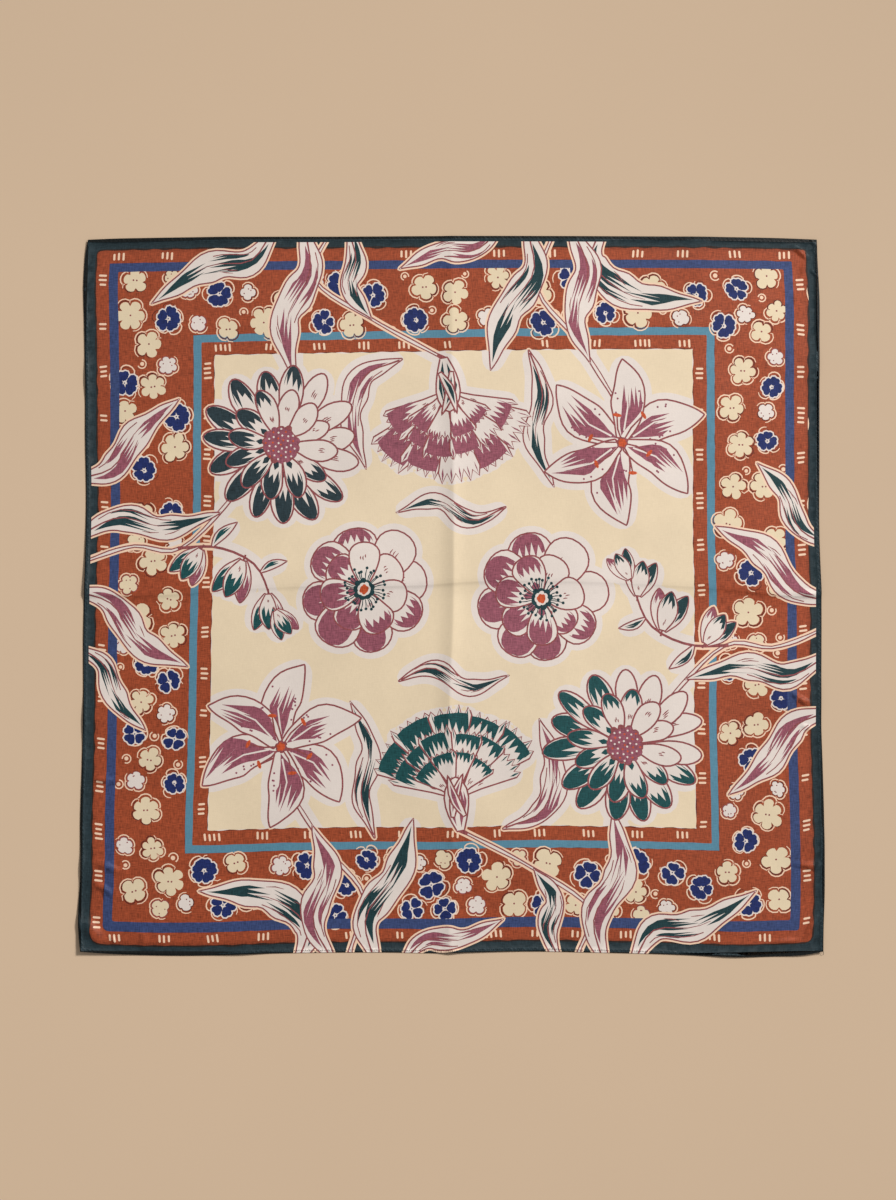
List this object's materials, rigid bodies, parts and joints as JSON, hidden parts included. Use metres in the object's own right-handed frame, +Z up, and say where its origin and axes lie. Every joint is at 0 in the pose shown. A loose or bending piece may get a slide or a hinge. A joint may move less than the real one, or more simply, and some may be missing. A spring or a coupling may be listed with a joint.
{
  "type": "silk square scarf laid flat",
  "caption": "Printed silk square scarf with narrow rolled hems, opened out and laid flat, with low storage folds and slightly curled corners.",
  "frame": {"origin": "middle of the scarf's bounding box, on the surface that it lies on", "axes": "+Z up out of the printed side, +Y towards the scarf's top edge, +X to its right edge"},
  "size_m": [0.8956, 0.8651, 0.007],
  "materials": {
    "printed_silk": "printed silk twill, soft satin sheen",
    "hem_silk": "rolled and stitched silk edge",
    "sewing_thread": "fine sewing thread"
  },
  "bodies": {
    "root": {"silk_field": "printed_silk", "hem_bottom": "hem_silk", "hem_top": "hem_silk", "hem_left": "hem_silk", "hem_right": "hem_silk"}
  },
  "joints": []
}
